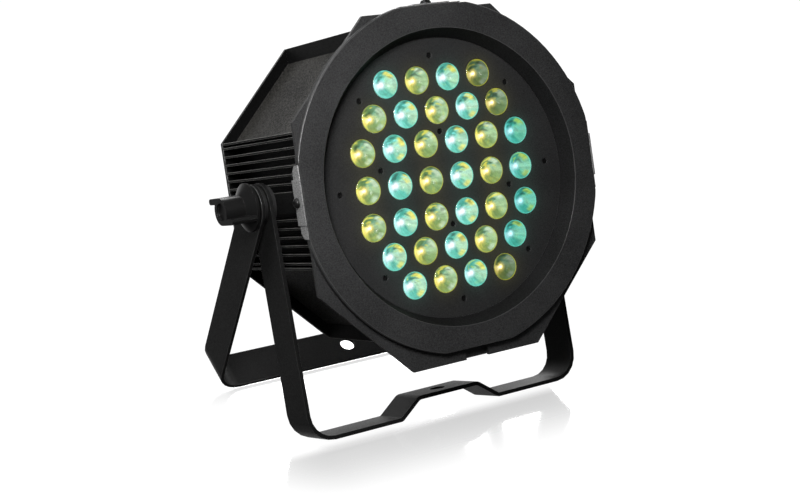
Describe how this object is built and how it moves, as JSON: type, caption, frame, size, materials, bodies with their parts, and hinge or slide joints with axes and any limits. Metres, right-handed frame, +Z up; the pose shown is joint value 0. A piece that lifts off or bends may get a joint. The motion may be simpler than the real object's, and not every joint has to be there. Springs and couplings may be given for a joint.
{
  "type": "par can light",
  "caption": "Stage par light: round lens face in an octagonal finned metal housing, clamped by side knobs between splayed front and rear brackets that serve as stand or yoke.",
  "frame": {"origin": "middle of the bounding box's base, on the floor that both brackets stand on", "axes": "+Z up; +X along the pivot line, to the right as seen from the front; -Y towards the side the lenses face"},
  "size_m": [0.2992, 0.2088, 0.3143],
  "materials": {
    "satin_black_steel": "satin black powder coat with a fine grain",
    "satin_black_casting": "satin black powder coat on a casting",
    "black_extrusion": "satin black on drawn fins",
    "face_plate_paint": "matt black paint",
    "clear_lens": "clear moulded lenses, polished",
    "white_board": "white solder mask",
    "bare_aluminium": "mill finish",
    "clip_zinc": "dull zinc plate",
    "black_oxide_steel": "black oxide, slightly shiny",
    "zinc_steel": "bright zinc plate",
    "knob_plastic": "black moulded plastic, half gloss",
    "black_plastic": "black moulded plastic",
    "rubber": "soft black rubber",
    "display_red": "dark red window, polished",
    "green_board": "green solder mask",
    "yellow_tape": "wound with yellow tape",
    "blue_sleeve": "shrunk blue sleeve"
  },
  "bodies": {
    "lamp_head": {"bezel_ring": "satin_black_casting", "bracket_spacer_left": "black_plastic", "bracket_spacer_right": "black_plastic", "clip_plate_left": "clip_zinc", "clip_plate_right": "clip_zinc", "clip_plate_top": "clip_zinc", "clip_screw_left": "black_oxide_steel", "clip_screw_right": "black_oxide_steel", "clip_stud_top": "black_oxide_steel", "control_board": "green_board", "corner_panel_bottom_left": "satin_black_steel", "corner_panel_bottom_right": "satin_black_steel", "corner_panel_top_left": "satin_black_steel", "corner_panel_top_right": "satin_black_steel", "display_frame": "black_plastic", "display_module": "display_red", "dmx_in_insert": "black_plastic", "dmx_in_shell": "black_oxide_steel", "dmx_out_insert": "black_plastic", "dmx_out_shell": "black_oxide_steel", "face_plate": "face_plate_paint", "filter_capacitor": "blue_sleeve", "friction_disc_left": "rubber", "friction_disc_right": "rubber", "front_flange": "satin_black_steel", "heat_spreader": "bare_aluminium", "latch_plate_bottom": "satin_black_steel", "latch_screw_bottom": "black_oxide_steel", "led_board": "white_board", "lens_array": "clear_lens", "power_inlet": "black_plastic", "power_outlet": "black_plastic", "power_supply_board": "green_board", "power_supply_tray": "bare_aluminium", "rear_panel": "satin_black_steel", "rear_screw_bottom": "black_oxide_steel", "rear_screw_left": "black_oxide_steel", "rear_screw_right": "black_oxide_steel", "rear_screw_top": "black_oxide_steel", "safety_loop": "zinc_steel", "side_extrusion_bottom": "black_extrusion", "side_extrusion_left": "black_extrusion", "side_extrusion_right": "black_extrusion", "side_extrusion_top": "black_extrusion", "transformer": "yellow_tape"},
    "front_bracket": {"front_bracket": "satin_black_steel"},
    "rear_bracket": {"rear_bracket": "satin_black_steel"},
    "left_washer": {"knob_washer_left": "zinc_steel"},
    "right_washer": {"knob_washer_right": "zinc_steel"},
    "left_knob": {"knob_grip_left": "knob_plastic", "knob_bolt_left": "zinc_steel"},
    "right_knob": {"knob_grip_right": "knob_plastic", "knob_bolt_right": "zinc_steel"},
    "menu_button_1": {"menu_button_1": "rubber"},
    "menu_button_2": {"menu_button_2": "rubber"},
    "menu_button_3": {"menu_button_3": "rubber"},
    "menu_button_4": {"menu_button_4": "rubber"},
    "dmx_out_latch": {"dmx_out_latch": "zinc_steel"},
    "fuse_drawer": {"fuse_drawer": "black_plastic"}
  },
  "joints": [
    {"name": "front_bracket_swing", "type": "hinge", "parent": "lamp_head", "child": "front_bracket", "pos_m": [0, 0.00072, 0.16866], "axis": [1, 0, 0], "range_deg": [-30, 200]},
    {"name": "rear_bracket_swing", "type": "hinge", "parent": "lamp_head", "child": "rear_bracket", "pos_m": [0, 0.00072, 0.16866], "axis": [1, 0, 0], "range_deg": [-75, 165]},
    {"name": "left_washer_travel", "type": "slide", "parent": "lamp_head", "child": "left_washer", "axis": [-1, 0, 0], "range_m": [0, 0.0025]},
    {"name": "left_knob_turn", "type": "hinge", "parent": "left_washer", "child": "left_knob", "pos_m": [0, 0.00072, 0.16866], "axis": [-1, 0, 0], "range_deg": [0, 720]},
    {"name": "right_washer_travel", "type": "slide", "parent": "lamp_head", "child": "right_washer", "axis": [1, 0, 0], "range_m": [0, 0.0025]},
    {"name": "right_knob_turn", "type": "hinge", "parent": "right_washer", "child": "right_knob", "pos_m": [0, 0.00072, 0.16866], "axis": [1, 0, 0], "range_deg": [0, 720]},
    {"name": "menu_button_1_press", "type": "slide", "parent": "lamp_head", "child": "menu_button_1", "axis": [0, -0.9613, 0.2756], "range_m": [0, 0.0008], "stiffness_N_per_m": 800, "springref_m": -0.0008},
    {"name": "menu_button_2_press", "type": "slide", "parent": "lamp_head", "child": "menu_button_2", "axis": [0, -0.9613, 0.2756], "range_m": [0, 0.0008], "stiffness_N_per_m": 800, "springref_m": -0.0008},
    {"name": "menu_button_3_press", "type": "slide", "parent": "lamp_head", "child": "menu_button_3", "axis": [0, -0.9613, 0.2756], "range_m": [0, 0.0008], "stiffness_N_per_m": 800, "springref_m": -0.0008},
    {"name": "menu_button_4_press", "type": "slide", "parent": "lamp_head", "child": "menu_button_4", "axis": [0, -0.9613, 0.2756], "range_m": [0, 0.0008], "stiffness_N_per_m": 800, "springref_m": -0.0008},
    {"name": "dmx_out_latch_press", "type": "slide", "parent": "lamp_head", "child": "dmx_out_latch", "axis": [0, -0.2756, -0.9613], "range_m": [0, 0.0012], "stiffness_N_per_m": 600, "springref_m": -0.0008},
    {"name": "fuse_drawer_pull", "type": "slide", "parent": "lamp_head", "child": "fuse_drawer", "axis": [0, 0.9613, -0.2756], "range_m": [0, 0.012]}
  ],
  "couplings": [
    {"joint": "left_knob_turn", "follows": "left_washer_travel", "rad_per_m": 5026.5},
    {"joint": "right_knob_turn", "follows": "right_washer_travel", "rad_per_m": 5026.5}
  ]
}
